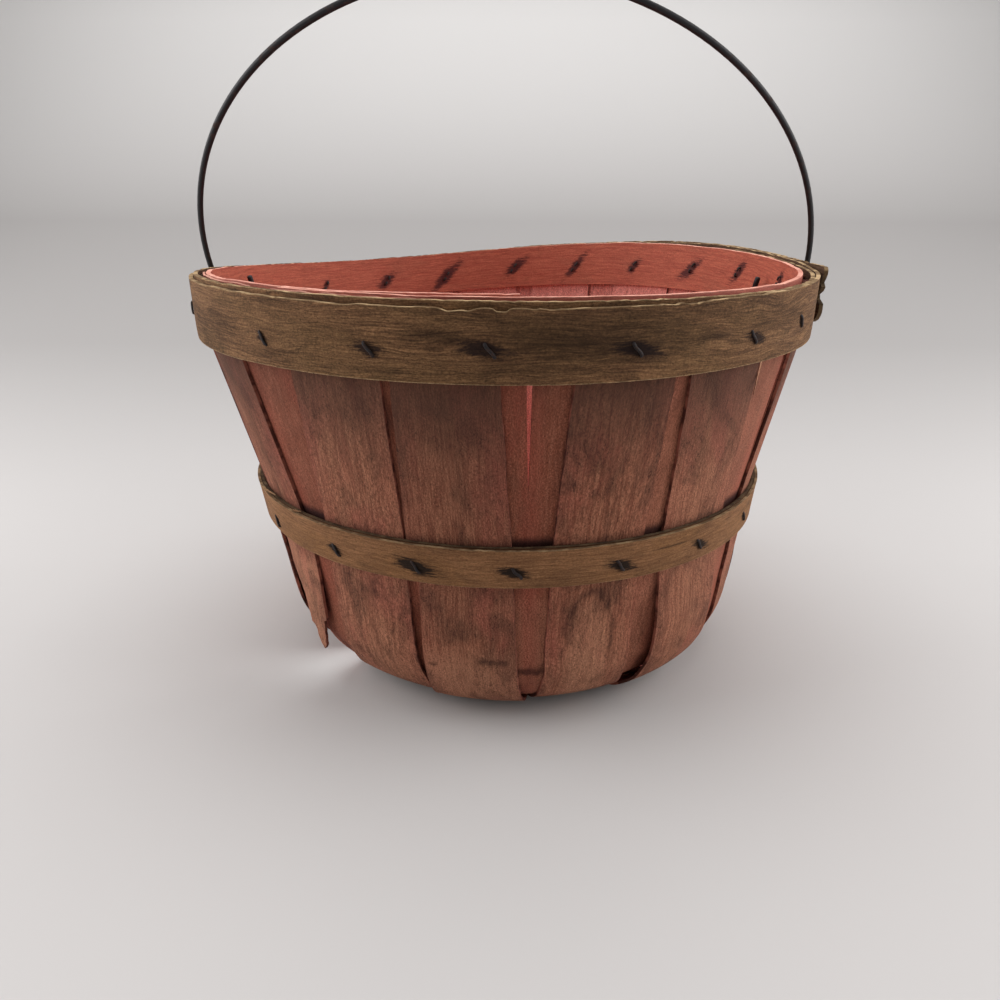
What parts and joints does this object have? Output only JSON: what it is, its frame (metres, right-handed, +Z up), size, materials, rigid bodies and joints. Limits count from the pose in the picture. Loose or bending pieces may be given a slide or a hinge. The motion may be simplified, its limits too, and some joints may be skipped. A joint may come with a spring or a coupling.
{
  "type": "apple basket",
  "caption": "Round farm basket of bent wood veneer staves held by stapled hoops, with a hinged wire bail to carry it by.",
  "frame": {"origin": "on the underside of the lowest stave, where the staves cross under the basket", "axes": "+Z up out of the mouth, +X along the bail's pivot line to the right seen from the front, +Y to the back, away from the side that the bail leans to"},
  "size_m": [0.3056, 0.2945, 0.2967],
  "materials": {
    "outer_veneer": "red-stained veneer, weathered brown and dull",
    "inner_veneer": "red-dyed veneer, less weathered",
    "hoop_veneer": "raw veneer, weathered grey-brown",
    "inner_hoop_veneer": "coral-dyed veneer with pale cut edges",
    "dark_steel": "dark oxidised wire with a little rust"
  },
  "bodies": {
    "basket": {"outer_stave_1": "outer_veneer", "outer_stave_2": "outer_veneer", "outer_stave_3": "outer_veneer", "outer_stave_4": "outer_veneer", "outer_stave_5": "outer_veneer", "outer_stave_6": "outer_veneer", "outer_stave_7": "outer_veneer", "outer_stave_8": "outer_veneer", "broken_stave_end": "outer_veneer", "inner_stave_1": "inner_veneer", "inner_stave_2": "inner_veneer", "inner_stave_3": "inner_veneer", "inner_stave_4": "inner_veneer", "inner_stave_5": "inner_veneer", "inner_stave_6": "inner_veneer", "inner_stave_7": "inner_veneer", "inner_stave_8": "inner_veneer", "top_hoop": "hoop_veneer", "inner_hoop": "inner_hoop_veneer", "mid_hoop": "hoop_veneer", "rim_staple_1": "dark_steel", "rim_staple_2": "dark_steel", "rim_staple_3": "dark_steel", "rim_staple_4": "dark_steel", "rim_staple_5": "dark_steel", "rim_staple_6": "dark_steel", "rim_staple_7": "dark_steel", "rim_staple_8": "dark_steel", "rim_staple_9": "dark_steel", "rim_staple_10": "dark_steel", "rim_staple_11": "dark_steel", "rim_staple_12": "dark_steel", "rim_staple_13": "dark_steel", "rim_staple_14": "dark_steel", "rim_staple_15": "dark_steel", "rim_staple_16": "dark_steel", "rim_staple_17": "dark_steel", "rim_staple_18": "dark_steel", "rim_staple_19": "dark_steel", "mid_staple_1": "dark_steel", "mid_staple_2": "dark_steel", "mid_staple_3": "dark_steel", "mid_staple_4": "dark_steel", "mid_staple_5": "dark_steel", "mid_staple_6": "dark_steel", "mid_staple_7": "dark_steel", "mid_staple_8": "dark_steel", "mid_staple_9": "dark_steel", "mid_staple_10": "dark_steel", "mid_staple_11": "dark_steel", "mid_staple_12": "dark_steel", "mid_staple_13": "dark_steel", "mid_staple_14": "dark_steel", "mid_staple_15": "dark_steel", "mid_staple_16": "dark_steel", "mid_staple_17": "dark_steel", "mid_staple_18": "dark_steel"},
    "bail": {"wire_bail": "dark_steel"}
  },
  "joints": [
    {"name": "bail_swing", "type": "hinge", "parent": "basket", "child": "bail", "pos_m": [0, 0.018, 0.1766], "axis": [1, 0, 0], "range_deg": [-167, 17.5]}
  ]
}
